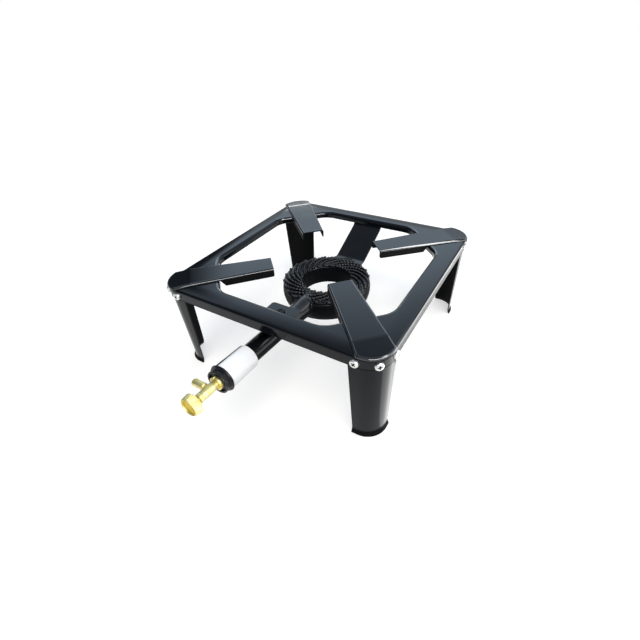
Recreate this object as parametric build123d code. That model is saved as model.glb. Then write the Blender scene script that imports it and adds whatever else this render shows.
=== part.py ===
from build123d import *
from math import atan2, cos, degrees, radians, sin, sqrt, tan
import os

# Low square gas stove. Origin on the floor under the burner's axis, +Z up, the valve towards -Y.
# Sizes in millimetres.

# Pressed square frame
frame_side = 300.0            # outside of the skirt
frame_height = 123.0          # flat top above the floor
frame_sheet = 1.2
corner_radius = 26.0          # outside of the skirt, seen from above
skirt_height = 15.0
rim_width = 24.5              # skirt face to opening face
flange_height = 8.5           # turned-down edge round the opening
bend_radius = 4.0             # outside of both rim bends
opening_cut = 55.0            # length cut off each side of the opening at its corners
opening_round = 28.0

# Pot supports, one over each corner
support_sheet = 1.5
support_bend = 2.0
support_rise = 3.5            # resting face above the frame's top
support_inner_radius = 70.5   # inner end, from the burner's axis
support_inner_width = 31.0
support_corner_width = 40.0   # at the centre of the frame's corner rounding
support_wall = 11.5           # depth of the walls over the opening
support_nose_overhang = 1.2   # nose, past the frame's corner
support_nose_drop = 2.2
support_nose_lap = 2.0        # nose's edge below the frame's top
support_slant = 6.0           # run of the sloping cut where a wall meets the rim
support_edge_gap = 0.6

# Legs, angled sheet inside the frame's corners
leg_sheet = 1.5
leg_fit = 0.1                 # gap to the skirt
leg_side_top = 11.8           # straight stretch beside the rounded corner, at the top
leg_side_foot = 5.3
leg_lean = 2.5                # foot inside the top of the leg, on each face
lip_height = 8.0
lip_flare = 2.5
lip_half_flare = 0.8          # flare at half of the lip's height

# Screws and nuts
screw_radius = 2.5
leg_screw_length = 12.0
boss_screw_length = 10.0
screw_tip = 1.5               # lug screw past its nut
head_radius = 4.75
head_height = 3.0
head_round = 2.0
recess_length = 5.0
recess_width = 1.1
recess_depth = 1.4
hole_clearance = 0.1
nut_flats = 8.0
nut_thickness = 4.0
screw_from_corner = 3.5       # on a face, from the end of the corner's rounding
screw_drop = 9.0              # below the frame's top

# Burner ring
burner_drop = 36.5            # crown's seat below the frame's top
ring_height = 27.7            # ring's bottom to the crown's seat
ring_belly = 23.0             # ring's bottom to its widest
ring_outer_radius = 60.0
ring_taper = 5.5              # bottom edge inside the widest radius
ring_shoulder = 1.0           # crown's edge inside the widest radius
ring_hole_radius = 34.0
ring_hollow = 2.2             # underside at the hole above the outer edge
ring_wall = 4.0
ring_floor = 4.0
crown_edge = 2.5              # height of the crown's edges above the seat
crown_height = 6.5            # height of the ridges above the seat
crown_hollow = 1.2            # height of the hollow above the seat
crown_lip = 3.0
crown_lip_sheet = 2.5
crown_fit = 0.3
ridge_height = 2.5
ridge_edge = 1.5              # height of the ridges at the crown's edges
ridge_width = 3.6
ridge_count = 24
ridge_sweep = 50.0            # degrees from a ridge's outer to its inner end
port_radius = 1.1
port_count = 2                # in each groove
port_pitch = 5.3              # radially, along a groove

# Mixing tube and chamber, stations measured along the tube from the burner's axis
tube_rise = 15.9              # tube's axis above the ring's bottom, at the burner's axis
tube_tilt = 3.4               # degrees, valve end up
tube_root_radius = 14.0
tube_neck_radius = 12.3
tube_throat_radius = 11.5
tube_wall = 3.5
tube_root_length = 26.0       # flare beside the ring
chamber_start = 168.0
chamber_end = 209.1
chamber_radius = 14.0         # at the tube's end
chamber_end_radius = 14.5
chamber_wall = 2.4
chamber_taper = 1.5
end_wall = 4.0
label_sheet = 0.2
label_gap = 0.3               # label to chamber
label_margin = 0.5
label_start_angle = -172.0    # about the tube, from +X upwards
label_arc = 300.0

# Fixing of the burner
bracket_width = 42.0
strap_width = 45.0
strap_sheet = 2.5
strap_bend = 2.0
tongue_end = 91.0             # front tongue's inner end, from the burner's axis
tongue_round = 4.0
boss_radius = 8.0
boss_station = 104.0          # front screw, from the burner's axis
boss_rise = 39.7              # boss's top above the ring's bottom
lug_rise = 23.2               # lug's top above the ring's bottom
lug_thickness = 7.0
lug_width = 26.0
lug_reach = 11.0              # beyond the ring
strap_gap = 0.5               # strap to ring and to the flange's edge

# Air shutter
shutter_gap = 0.3
shutter_radius = 16.0         # collar
shutter_neck_radius = 12.8
shutter_neck = 3.0            # neck from the shutter's back
shutter_collar = 1.8
shutter_collar_taper = 1.0
shutter_length = 7.6
shutter_dish_depth = 2.0
shutter_dish_margin = 0.3     # dish past the windows
shutter_rim = 2.0
shutter_round = 1.1
window_radius = 9.7           # middle of the air windows
window_width = 2.8
window_count = 4
window_overlap = 3.0          # degrees the shut cap covers past the windows
running_fit = 0.05            # radial, shaft to hole

# Gas valve, on the tube's axis
valve_nose_radius = 4.5
valve_nose_reach = 6.0        # inside the chamber
lock_ring_radius = 7.8
lock_ring_length = 4.2
lock_notch = 1.6
lock_notch_count = 4
thread_gap = 0.02
body_radius = 5.0
body_length = 19.6
gas_radius = 0.9
injector_radius = 3.8
injector_head = 4.0
injector_shank_radius = 2.4
injector_shank = 4.0
jet_radius = 0.45
spigot_station = 8.5          # along the valve body
spigot_radius = 4.1
spigot_bore = 2.0
spigot_reach = 21.5           # spigot's end from the valve's axis
spigot_shank_radius = 3.0     # brazed into the valve body
spigot_shank = 1.5            # bare shank between body and spigot
spigot_depth = 2.4            # shank inside the valve body
spigot_bevel = 0.8
chest_gap = 0.6               # gas space round the needle
seat_station = 3.0            # needle seat along the valve body
needle_radius = 1.8
needle_tip_radius = 0.5
needle_cone = 2.8
needle_pin_radius = 1.2
needle_pin = 1.5
thread_radius = 3.0
thread_length = 2.5
thread_depth = 5.5            # threaded bore in the valve body
gland_radius = 4.7
gland_length = 4.0
seal_length = 1.5
seal_width = 1.3
stem_radius = 2.2
stem_show = 4.0               # bare stem between gland and knob
stem_in_knob = 5.0
knob_length = 9.0
knob_back_radius = 11.4
knob_front_radius = 10.3
knob_rim = 1.0
knob_dish_depth = 1.5
knob_dish_draft = 0.6
knob_bevel = 0.9
knob_flutes = 30
flute_radius = 0.55

# Values worked out from the sizes above
overrun = 1.0                 # how far a cutter passes through a face
frame_half = frame_side / 2
skirt_bottom_z = frame_height - skirt_height
flange_bottom_z = frame_height - flange_height
opening_half = frame_half - rim_width
corner_centre = frame_half - corner_radius
corner_centre_radius = corner_centre * sqrt(2)
support_top_z = frame_height + support_rise
support_nose_radius = corner_radius + support_nose_overhang
hole_radius = screw_radius + hole_clearance
leg_half = frame_half - frame_sheet - leg_fit
leg_corner_radius = corner_radius - frame_sheet - leg_fit
tucked_top_z = frame_height - bend_radius - leg_fit
corner_sheets = frame_sheet + leg_fit + leg_sheet
screw_z = frame_height - screw_drop
ring_seat_z = frame_height - burner_drop
ring_bottom_z = ring_seat_z - ring_height
ring_foot_radius = ring_outer_radius - ring_taper
channel_inner_radius = ring_hole_radius + ring_wall
crown_outer_radius = ring_outer_radius - ring_shoulder
boss_top_z = ring_bottom_z + boss_rise
lug_top_z = ring_bottom_z + lug_rise
lug_outer = ring_outer_radius + lug_reach
lug_screw_y = ring_outer_radius + lug_reach / 2
tube_axis_z = ring_bottom_z + tube_rise
shutter_start = chamber_end + shutter_gap
shutter_end = shutter_start + shutter_length
dish_floor = shutter_end - shutter_dish_depth
dish_radius = window_radius + window_width / 2 + shutter_dish_margin
lock_ring_start = dish_floor + shutter_gap
body_start = lock_ring_start + lock_ring_length
body_end = body_start + body_length
valve_nose_end = chamber_end - end_wall - valve_nose_reach
seat = body_start + seat_station
chest_radius = needle_radius + chest_gap
needle_slope = (needle_radius - needle_tip_radius) / needle_cone
needle_tip = seat - (gas_radius - running_fit - needle_tip_radius) / needle_slope
spindle_start = body_end - thread_depth
seal_radius = stem_radius + seal_width
gland_end = body_end + gland_length
knob_start = gland_end + stem_show
knob_end = knob_start + knob_length
corner_signs = [(-1, -1), (1, -1), (1, 1), (-1, 1)]
corner_names = ["front_left", "front_right", "back_right", "back_left"]


def tube_axis_frame():
    """Local +Z out along the tube, local +X along the part's +X."""
    tilt = radians(tube_tilt)
    axis = Plane(origin=(0, 0, tube_axis_z), x_dir=(1, 0, 0), z_dir=(0, -cos(tilt), sin(tilt)))
    return Location(axis)


on_tube = tube_axis_frame()


def turned(*outline):
    """Solid of revolution about Z from (radius, height) points."""
    points = [(radius, 0, height) for radius, height in outline]
    return revolve(make_face(Polyline(*points, close=True)), Axis.Z)


def rod(radius, start, end):
    """Round bar along Z."""
    return Pos(0, 0, start) * Cylinder(radius, end - start, align=(Align.CENTER, Align.CENTER, Align.MIN))


def side_prism(width, *outline):
    """Prism of the given width across X from (y, z) points."""
    return extrude(Plane.YZ * make_face(Polyline(*outline, close=True)), amount=width / 2, both=True)


def opening_outline(grow):
    """Eight-sided opening with rounded corners, grown outwards by a distance."""
    half = opening_half + grow
    corner = half - opening_cut - grow * (2 - sqrt(2))
    quarter = [(half, -corner), (half, corner)]
    points = [p.rotate(Axis.Z, 90 * turn) for turn in range(4) for p in (Vector(*q) for q in quarter)]
    outline = make_face(Polyline(*points, close=True))
    return fillet(outline.vertices(), opening_round + grow)


def rim_block(inset, top_z):
    """Block under the pressed rim's skin, a distance inside its outer faces."""
    side = frame_side - 2 * inset
    plate = RectangleRounded(side, side, corner_radius - inset) - opening_outline(inset)
    block = extrude(Pos(0, 0, skirt_bottom_z) * plate, amount=top_z - skirt_bottom_z)
    return fillet(block.edges().group_by(Axis.Z)[-1], bend_radius - inset)


def screw_places():
    """Places of the leg screws on the skirt, local +Z outwards: side, side and corner."""
    along = corner_centre - screw_from_corner
    corner = corner_centre + corner_radius / sqrt(2)
    places = []
    for sign_x, sign_y in corner_signs:
        places.append(Plane((sign_x * frame_half, sign_y * along, screw_z), z_dir=(sign_x, 0, 0)))
        places.append(Plane((sign_x * along, sign_y * frame_half, screw_z), z_dir=(0, sign_y, 0)))
        places.append(Plane((sign_x * corner, sign_y * corner, screw_z), z_dir=(sign_x, sign_y, 0)))
    return [Location(place) for place in places]


def leg_screw_holes():
    return [place * rod(hole_radius, -corner_sheets - overrun, overrun) for place in screw_places()]


def top_frame():
    rim = rim_block(0, frame_height) - rim_block(frame_sheet, frame_height - frame_sheet)
    below_flange = Pos(0, 0, skirt_bottom_z) * opening_outline(2 * frame_sheet)
    rim -= extrude(below_flange, amount=flange_bottom_z - skirt_bottom_z)
    return rim - leg_screw_holes()


def support_block(inset, inner_end):
    """Filled pot support along +X, a distance inside its outer faces."""
    tip = corner_centre_radius + support_nose_radius
    taper = (support_corner_width - support_inner_width) / 2
    slope = taper / (corner_centre_radius - support_inner_radius)
    wide_at_inner = support_inner_width / 2 - inset + slope * (inner_end - support_inner_radius)
    wide_at_tip = support_corner_width / 2 - inset + slope * (tip - corner_centre_radius)
    strip = make_face(Polyline((inner_end, -wide_at_inner), (tip, -wide_at_tip), (tip, wide_at_tip),
                               (inner_end, wide_at_inner), close=True))
    straight = corner_centre_radius - inner_end
    reach = Pos(inner_end + straight / 2, 0) * Rectangle(straight, 2 * corner_radius)
    reach += Pos(corner_centre_radius, 0) * Circle(support_nose_radius - inset)
    bottom_z = support_top_z - support_wall
    height = support_wall - inset
    block = extrude(Pos(0, 0, bottom_z) * (strip & reach), amount=height)
    top_z = bottom_z + height
    nose_cut = side_prism(4 * corner_radius, (corner_centre_radius, top_z),
                          (tip, top_z - support_nose_drop), (tip, top_z + support_rise),
                          (corner_centre_radius, top_z + support_rise))
    return block - Rot(0, 0, -90) * nose_cut


def support_folds(block):
    """Upper side edges and nose edge of the filled support, without its inner end and nose crease."""
    upper = [edge for edge in block.edges() if edge.center().Z > support_top_z - support_rise]
    sides = [edge for edge in upper if edge.geom_type == GeomType.LINE and abs(edge.center().Y) > overrun]
    return sides + [edge for edge in upper if edge.geom_type == GeomType.ELLIPSE]


def pot_support():
    outside = support_block(0, support_inner_radius)
    inside = support_block(support_sheet, support_inner_radius - overrun)
    shell = fillet(support_folds(outside), support_bend) - inside
    edge_radius = (2 * opening_half - opening_cut) / sqrt(2) - support_edge_gap
    nose_inside = support_nose_radius - support_sheet
    half_inside = support_corner_width / 2 - support_sheet
    nose_start = corner_centre_radius + sqrt(nose_inside ** 2 - half_inside ** 2)
    nose_z = frame_height - support_nose_lap
    tip = corner_centre_radius + 2 * support_nose_radius
    low_z = support_top_z - 2 * support_wall
    wall_z = support_top_z - support_wall
    under_rim = side_prism(4 * corner_radius, (edge_radius - support_slant, low_z),
                           (edge_radius - support_slant, wall_z), (edge_radius, frame_height),
                           (nose_start, frame_height), (nose_start, nose_z), (tip, nose_z), (tip, low_z))
    return shell - Rot(0, 0, -90) * under_rim


def leg_section(z, half, side):
    """Angle section with a rounded corner, in the +X +Y quarter."""
    centre = half - leg_corner_radius
    edge = centre - side
    back = half - leg_sheet
    outline = [Line((edge, half), (centre, half)),
               CenterArc((centre, centre), leg_corner_radius, 0, 90),
               Line((half, centre), (half, edge)),
               Line((half, edge), (back, edge)),
               Line((back, edge), (back, centre)),
               CenterArc((centre, centre), leg_corner_radius - leg_sheet, 0, 90),
               Line((centre, back), (edge, back)),
               Line((edge, back), (edge, half))]
    return Pos(0, 0, z) * make_face(outline)


def leg():
    foot_half = leg_half - leg_lean
    sections = [leg_section(tucked_top_z, leg_half, leg_side_top),
                leg_section(skirt_bottom_z, leg_half, leg_side_top),
                leg_section(lip_height, foot_half, leg_side_foot),
                leg_section(lip_height / 2, foot_half + lip_half_flare, leg_side_foot + lip_half_flare),
                leg_section(0, foot_half + lip_flare, leg_side_foot + lip_flare)]
    return loft(sections, ruled=True)


def pan_screw(length):
    """Pan-head screw, head's seat at height 0, shank towards -Z, cross recess."""
    head = rod(head_radius, 0, head_height)
    head = fillet(head.edges().group_by(Axis.Z)[-1], head_round)
    arm = Box(recess_length, recess_width, recess_depth, align=(Align.CENTER, Align.CENTER, Align.MAX))
    cross = Pos(0, 0, head_height) * (arm + Rot(0, 0, 90) * arm)
    return head + rod(screw_radius, -length, 0) - cross


def hex_nut():
    """Hexagon nut, seat at height 0, body towards -Z."""
    body = extrude(RegularPolygon(nut_flats / 2, 6, major_radius=False), amount=-nut_thickness)
    return body - rod(screw_radius + thread_gap, -nut_thickness - overrun, overrun)


def leg_screws():
    return Compound([place * pan_screw(leg_screw_length) for place in screw_places()])


def leg_nuts():
    """Nuts behind the legs, each seated clear of the corner's curve."""
    curve = corner_radius - corner_sheets
    nut_corner = nut_flats / sqrt(3)
    over_curve = max(0, nut_corner - screw_from_corner)
    nuts = []
    for index, place in enumerate(screw_places()):
        on_curve = nut_corner if index % 3 == 2 else over_curve
        sag = curve - sqrt(curve ** 2 - on_curve ** 2)
        nuts.append(place * Pos(0, 0, -corner_sheets - sag) * hex_nut())
    return Compound(nuts)


def bent_strip(points, width):
    """Bent strip across X: points run along one face, the sheet lies on their right."""
    sheet = strap_sheet
    radius = strap_bend
    ahead = [(b - a).normalized() for a, b in zip(points, points[1:])]
    right = [Vector(d.Y, -d.X) for d in ahead]
    other = [points[0] + right[0] * sheet]
    bends = []
    for point, n1, n2 in zip(points[1:], right, right[1:]):
        far_point = point + (n1 + n2) * (sheet / (1 + n1.dot(n2)))
        other.append(far_point)
        turns_left = n1.cross(n2).Z > 0
        bends.append((point, radius if turns_left else radius + sheet))
        bends.append((far_point, radius + sheet if turns_left else radius))
    other.append(points[-1] + right[-1] * sheet)
    face = make_face(Polyline(*points, *reversed(other), close=True))
    for place, size in bends:
        face = fillet(face.vertices().sort_by_distance(place)[0], size)
    return extrude(Plane.YZ * face, amount=width / 2, both=True)


def front_bracket():
    """Tab behind the front edge of the opening, and a tongue over the tube's boss."""
    tab_y = -(opening_half + frame_sheet)
    tongue_z = boss_top_z + strap_sheet
    path = [Vector(tab_y, tucked_top_z), Vector(tab_y, tongue_z), Vector(-tongue_end, tongue_z)]
    bracket = bent_strip(path, bracket_width)
    ends = bracket.edges().filter_by(Axis.Z).group_by(Axis.Y)[-1]
    bracket = fillet(ends, tongue_round)
    return bracket - Pos(0, -boss_station, 0) * rod(hole_radius, boss_top_z - overrun, tongue_z + overrun)


def rear_strap():
    """Tab behind the rear edge of the opening, sloping down to a foot on the ring's lug."""
    tab_y = opening_half + frame_sheet
    foot_z = lug_top_z + strap_sheet
    path = [Vector(ring_outer_radius + strap_gap, foot_z), Vector(lug_outer, foot_z),
            Vector(tab_y, flange_bottom_z - strap_gap - strap_bend), Vector(tab_y, tucked_top_z)]
    strap = bent_strip(path, strap_width)
    return strap - Pos(0, lug_screw_y, 0) * rod(hole_radius, lug_top_z - overrun, foot_z + overrun)


def burner_screws():
    lug_screw_length = strap_sheet + lug_thickness + nut_thickness + screw_tip
    front = Pos(0, -boss_station, boss_top_z + strap_sheet) * pan_screw(boss_screw_length)
    rear = Pos(0, lug_screw_y, lug_top_z + strap_sheet) * pan_screw(lug_screw_length)
    return Compound([front, rear])


def burner_nut():
    return Pos(0, lug_screw_y, lug_top_z - lug_thickness) * hex_nut()


def ring_block():
    """Outside of the burner ring, barrel-shaped, filled."""
    side = ThreePointArc((ring_foot_radius, ring_bottom_z), (ring_outer_radius, ring_bottom_z + ring_belly),
                         (crown_outer_radius, ring_seat_z))
    rest = Polyline((crown_outer_radius, ring_seat_z), (ring_hole_radius, ring_seat_z),
                    (ring_hole_radius, ring_bottom_z + ring_hollow), (ring_foot_radius, ring_bottom_z))
    return revolve(Plane.XZ * make_face([side, rest]), Axis.Z)


def tube_block():
    """Outside of the mixing tube and its chamber, filled, along local +Z."""
    root_end = ring_outer_radius + tube_root_length
    flare = TangentArc((tube_neck_radius, root_end), (tube_root_radius, ring_foot_radius), tangent=(0, -1))
    rest = Polyline((tube_neck_radius, root_end), (tube_throat_radius, chamber_start),
                    (chamber_radius, chamber_start + chamber_taper), (chamber_end_radius, chamber_end),
                    (0, chamber_end), (0, channel_inner_radius), (tube_root_radius, channel_inner_radius),
                    (tube_root_radius, ring_foot_radius))
    return revolve(Plane.XZ * make_face([flare, rest]), Axis.Z)


def tube_bore():
    """Way of the gas and air mixture, along local +Z."""
    throat = tube_throat_radius - tube_wall
    chamber = chamber_radius - chamber_wall
    return turned((0, channel_inner_radius), (tube_neck_radius - tube_wall, channel_inner_radius),
                  (throat, chamber_start), (chamber, chamber_start + chamber - throat),
                  (chamber, chamber_end - end_wall), (0, chamber_end - end_wall))


def air_windows(start, end):
    """Ring of curved windows cut along local +Z."""
    pitch = 360 / window_count
    opened = pitch / 2 - window_overlap - degrees(window_width / window_radius)
    slot = SlotArc(CenterArc((0, 0), window_radius, -opened / 2, opened), window_width)
    return [Rot(0, 0, pitch * k) * extrude(Pos(0, 0, start) * slot, amount=end - start)
            for k in range(window_count)]


def burner_body():
    body = ring_block() + on_tube * tube_block()
    boss_foot = tube_axis_z + boss_station * tan(radians(tube_tilt))
    body += Pos(0, -boss_station, 0) * rod(boss_radius, boss_foot, boss_top_z)
    lug_inner = ring_foot_radius - ring_wall
    body += Pos(0, lug_inner, lug_top_z) * Box(lug_width, lug_outer - lug_inner, lug_thickness,
                                               align=(Align.CENTER, Align.MIN, Align.MAX))
    body -= turned((channel_inner_radius, ring_bottom_z + ring_floor),
                   (ring_foot_radius - ring_wall, ring_bottom_z + ring_floor),
                   (crown_outer_radius - ring_wall, ring_seat_z), (channel_inner_radius, ring_seat_z))
    body -= rod(crown_outer_radius + crown_fit, ring_seat_z, ring_seat_z + crown_height)
    body -= on_tube * tube_bore()
    wall_start = chamber_end - end_wall - overrun
    body -= on_tube * rod(valve_nose_radius + thread_gap, wall_start, chamber_end + overrun)
    body -= [on_tube * window for window in air_windows(wall_start, chamber_end + overrun)]
    thread_foot = boss_top_z + strap_sheet - boss_screw_length
    body -= Pos(0, -boss_station, 0) * rod(screw_radius + thread_gap, thread_foot, boss_top_z + overrun)
    lug_hole = rod(hole_radius, lug_top_z - lug_thickness - overrun, lug_top_z + overrun)
    return body - Pos(0, lug_screw_y, 0) * lug_hole


def crown_arch(edge_raise, top_raise):
    """Arched ring over the burner's channel, raised at its edges and at its top."""
    edge_z = ring_seat_z + crown_edge + edge_raise
    top_z = ring_seat_z + crown_height - ridge_height + top_raise
    middle = (crown_outer_radius + ring_hole_radius) / 2
    arch = ThreePointArc((crown_outer_radius, edge_z), (middle, top_z), (ring_hole_radius, edge_z))
    rest = Polyline((ring_hole_radius, edge_z), (ring_hole_radius, ring_seat_z),
                    (crown_outer_radius, ring_seat_z), (crown_outer_radius, edge_z))
    return revolve(Plane.XZ * make_face([arch, rest]), Axis.Z)


def swirl_point(share):
    """Point on a ridge's line: share 0 at the crown's outer edge, 1 at its hole."""
    radius = crown_outer_radius + share * (ring_hole_radius - crown_outer_radius)
    angle = radians(ridge_sweep * share)
    return Vector(radius * cos(angle), radius * sin(angle))


def burner_crown():
    past = ridge_width / (crown_outer_radius - ring_hole_radius) / 2
    line = ThreePointArc(swirl_point(-past), swirl_point(0.5), swirl_point(1 + past))
    band = extrude(Pos(0, 0, ring_seat_z) * trace(line, ridge_width), amount=2 * crown_height)
    ridge = band & crown_arch(ridge_edge, ridge_height)
    crown = crown_arch(0, 0) + [Rot(0, 0, 360 * k / ridge_count) * ridge for k in range(ridge_count)]
    lip_foot = ring_seat_z - crown_lip
    lip_inner = channel_inner_radius + crown_fit
    wall_lean = (crown_outer_radius - ring_foot_radius) / (ring_height - ring_floor)
    lip_outer = crown_outer_radius - ring_wall - crown_fit - crown_lip * wall_lean
    roof_z = ring_seat_z + crown_hollow
    crown += turned((lip_inner, ring_seat_z), (lip_inner, lip_foot),
                    (lip_outer, lip_foot), (lip_outer, ring_seat_z))
    crown -= turned((lip_inner + crown_lip_sheet, lip_foot), (lip_inner + crown_lip_sheet, roof_z),
                    (lip_outer - crown_lip_sheet, roof_z), (lip_outer - crown_lip_sheet, lip_foot))
    return crown - flame_ports()


def flame_ports():
    """Round holes through the crown's roof, in the grooves between the ridges."""
    ports = []
    for groove in range(ridge_count):
        for row in range(port_count):
            offset = (row - (port_count - 1) / 2) * port_pitch
            share = 0.5 + offset / (crown_outer_radius - ring_hole_radius)
            place = swirl_point(share).rotate(Axis.Z, 360 * (groove + 0.5) / ridge_count)
            port = rod(port_radius, ring_seat_z, ring_seat_z + crown_height + overrun)
            ports.append(Pos(place.X, place.Y, 0) * port)
    return ports


def chamber_at(station):
    """Outer radius of the slightly conical mixing chamber."""
    start = chamber_start + chamber_taper
    share = (station - start) / (chamber_end - start)
    return chamber_radius + share * (chamber_end_radius - chamber_radius)


def label_sleeve():
    """Blank label round the mixing chamber, open along one side."""
    start = chamber_start + chamber_taper + label_margin
    end = chamber_end - label_margin
    inner_start = chamber_at(start) + label_gap
    inner_end = chamber_at(end) + label_gap
    section = make_face(Polyline((inner_start, 0, start), (inner_start + label_sheet, 0, start),
                                 (inner_end + label_sheet, 0, end), (inner_end, 0, end), close=True))
    return on_tube * Rot(0, 0, label_start_angle) * revolve(section, Axis.Z, label_arc)


def air_shutter():
    """Turning end cap whose windows pass over those of the chamber."""
    neck = shutter_start + shutter_neck
    bore = valve_nose_radius + running_fit
    flange_radius = dish_radius + shutter_rim
    cap = turned((bore, shutter_start), (shutter_radius, shutter_start),
                 (shutter_radius - shutter_collar_taper, shutter_start + shutter_collar),
                 (shutter_neck_radius, neck),
                 (flange_radius, dish_floor), (flange_radius, shutter_end - shutter_round),
                 (flange_radius - shutter_round, shutter_end), (dish_radius, shutter_end),
                 (dish_radius, dish_floor), (bore, dish_floor))
    return on_tube * (cap - air_windows(shutter_start - overrun, shutter_end))


def lock_ring():
    """Notched brass ring that keeps the shutter on the valve's nose."""
    ring = rod(lock_ring_radius, lock_ring_start, body_start)
    ring -= rod(valve_nose_radius + thread_gap, lock_ring_start - overrun, body_start + overrun)
    notch = Pos(lock_ring_radius, 0, body_start) * Box(2 * lock_notch, lock_notch, lock_ring_length)
    return on_tube * (ring - [Rot(0, 0, 360 * k / lock_notch_count) * notch for k in range(lock_notch_count)])


def injector():
    """Brass jet on the valve's nose."""
    start = valve_nose_end - injector_head
    jet = rod(injector_radius, start, valve_nose_end)
    jet += rod(injector_shank_radius - thread_gap, valve_nose_end, valve_nose_end + injector_shank)
    return on_tube * (jet - rod(jet_radius, start - overrun, body_start))


def side_way(radius, start, end):
    """Round bar from the valve's axis towards -X at the inlet."""
    return Pos(0, 0, body_start + spigot_station) * Rot(0, -90, 0) * rod(radius, start, end)


def valve_body():
    body = rod(valve_nose_radius, valve_nose_end, body_start) + rod(body_radius, body_start, body_end)
    body -= rod(injector_shank_radius, valve_nose_end - overrun, valve_nose_end + injector_shank)
    body -= rod(gas_radius, valve_nose_end, seat)
    body -= rod(chest_radius, seat, spindle_start)
    body -= rod(thread_radius, spindle_start, body_end + overrun)
    body -= side_way(spigot_bore, 0, body_radius)
    socket_floor = body_radius - spigot_depth
    return on_tube * (body - side_way(spigot_shank_radius + thread_gap, socket_floor, 2 * body_radius))


def inlet_spigot():
    """Hose spigot brazed into the valve's side."""
    tube = side_way(spigot_radius, body_radius + spigot_shank, spigot_reach)
    tube = chamfer(tube.edges().group_by(Axis.X)[0], spigot_bevel)
    tube += side_way(spigot_shank_radius, body_radius - spigot_depth, body_radius + spigot_shank)
    return on_tube * (tube - side_way(spigot_bore, 0, spigot_reach + overrun))


def gland_nut():
    """Packing nut round the stem, with a hexagon outside."""
    hexagon = RegularPolygon(gland_radius, 6, major_radius=False)
    nut = extrude(Pos(0, 0, body_end) * hexagon, amount=gland_length)
    nut -= rod(seal_radius + thread_gap, body_end, body_end + seal_length)
    return on_tube * (nut - rod(stem_radius + running_fit, body_end - overrun, gland_end + overrun))


def stem_seal():
    seal = rod(seal_radius, body_end, body_end + seal_length)
    return on_tube * (seal - rod(stem_radius + running_fit, body_end - overrun, gland_end))


def valve_needle():
    """Needle that slides to and from its seat, on a pin in the spindle's end."""
    pin_end = spindle_start + needle_pin
    return on_tube * turned((0, needle_tip), (needle_tip_radius, needle_tip),
                            (needle_radius, needle_tip + needle_cone), (needle_radius, spindle_start),
                            (needle_pin_radius, spindle_start), (needle_pin_radius, pin_end), (0, pin_end))


def valve_spindle():
    spindle = rod(thread_radius - running_fit, spindle_start, spindle_start + thread_length)
    spindle += rod(stem_radius, spindle_start + thread_length, knob_start + stem_in_knob)
    socket_end = spindle_start + needle_pin + running_fit
    return on_tube * (spindle - rod(needle_pin_radius + running_fit, spindle_start - overrun, socket_end))


def knob():
    """Fluted hand wheel with a dished face."""
    floor = knob_end - knob_dish_depth
    dish = knob_front_radius - knob_rim
    wheel = turned((0, knob_start), (knob_back_radius - knob_bevel, knob_start),
                   (knob_back_radius, knob_start + knob_bevel), (knob_front_radius, knob_end - knob_bevel),
                   (knob_front_radius - knob_bevel, knob_end), (dish, knob_end),
                   (dish - knob_dish_draft, floor), (0, floor))
    lean = degrees(atan2(knob_back_radius - knob_front_radius, knob_length - 2 * knob_bevel))
    flute = Rot(0, -lean, 0) * rod(flute_radius, -overrun, knob_length + overrun)
    flute = Pos(knob_back_radius, 0, knob_start) * flute
    wheel -= [Rot(0, 0, 360 * k / knob_flutes) * flute for k in range(knob_flutes)]
    return on_tube * (wheel - rod(stem_radius, knob_start - overrun, knob_start + stem_in_knob))


def save(name, shape):
    export_step(shape, os.path.join("parts", name + ".step"))


def build():
    os.makedirs("parts", exist_ok=True)
    save("top_frame", top_frame())
    support = pot_support()
    holes = leg_screw_holes()
    corner_leg = leg()
    for index, name in enumerate(corner_names):
        turn = Rot(0, 0, 90 * index - 180)
        save("pot_support_" + name, Rot(0, 0, 90 * index - 135) * support)
        save("leg_" + name, turn * corner_leg - holes)
    pieces = [leg_screws, leg_nuts, front_bracket, rear_strap, burner_screws, burner_nut, burner_body,
              burner_crown, label_sleeve, air_shutter, lock_ring, injector, valve_body, inlet_spigot,
              gland_nut, stem_seal, valve_needle, valve_spindle, knob]
    for piece in pieces:
        save(piece.__name__, piece())


build()
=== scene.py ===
from math import atan2, cos, degrees, hypot, pi, radians, sin, sqrt, tan

import bmesh
import bpy
from mathutils import Matrix, Vector


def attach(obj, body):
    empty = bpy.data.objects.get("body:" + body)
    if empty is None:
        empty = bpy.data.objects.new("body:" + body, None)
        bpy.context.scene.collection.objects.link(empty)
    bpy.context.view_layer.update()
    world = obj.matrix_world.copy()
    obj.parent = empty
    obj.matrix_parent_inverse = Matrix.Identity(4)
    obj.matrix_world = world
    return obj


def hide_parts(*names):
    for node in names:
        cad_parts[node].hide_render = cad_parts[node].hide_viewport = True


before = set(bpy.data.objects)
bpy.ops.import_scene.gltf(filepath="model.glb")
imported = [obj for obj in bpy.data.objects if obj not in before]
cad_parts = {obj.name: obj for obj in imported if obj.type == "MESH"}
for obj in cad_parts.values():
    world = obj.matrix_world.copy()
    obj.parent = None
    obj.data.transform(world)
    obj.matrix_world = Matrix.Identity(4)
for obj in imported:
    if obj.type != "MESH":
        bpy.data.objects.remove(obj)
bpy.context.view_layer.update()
print("frame loaded,", len(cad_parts), "parts")

mm = 0.001                                  # pieces are modelled in millimetres
near = 0.01                                 # places closer than this count as one, in millimetres
allSmooth = 180                             # angle at which no edge counts as sharp
corners = ["front_left", "front_right", "back_right", "back_left"]


# Camera

cameraView = {
    "place": (0.2375426, -0.3800777, 0.3722905),
    "azimuth": -33.579,
    "down": 38.479,
    "roll": -3.706,
    "lens": 21.538,
    "sensor": 36.0,
    "nearest": 0.01,
}


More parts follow.
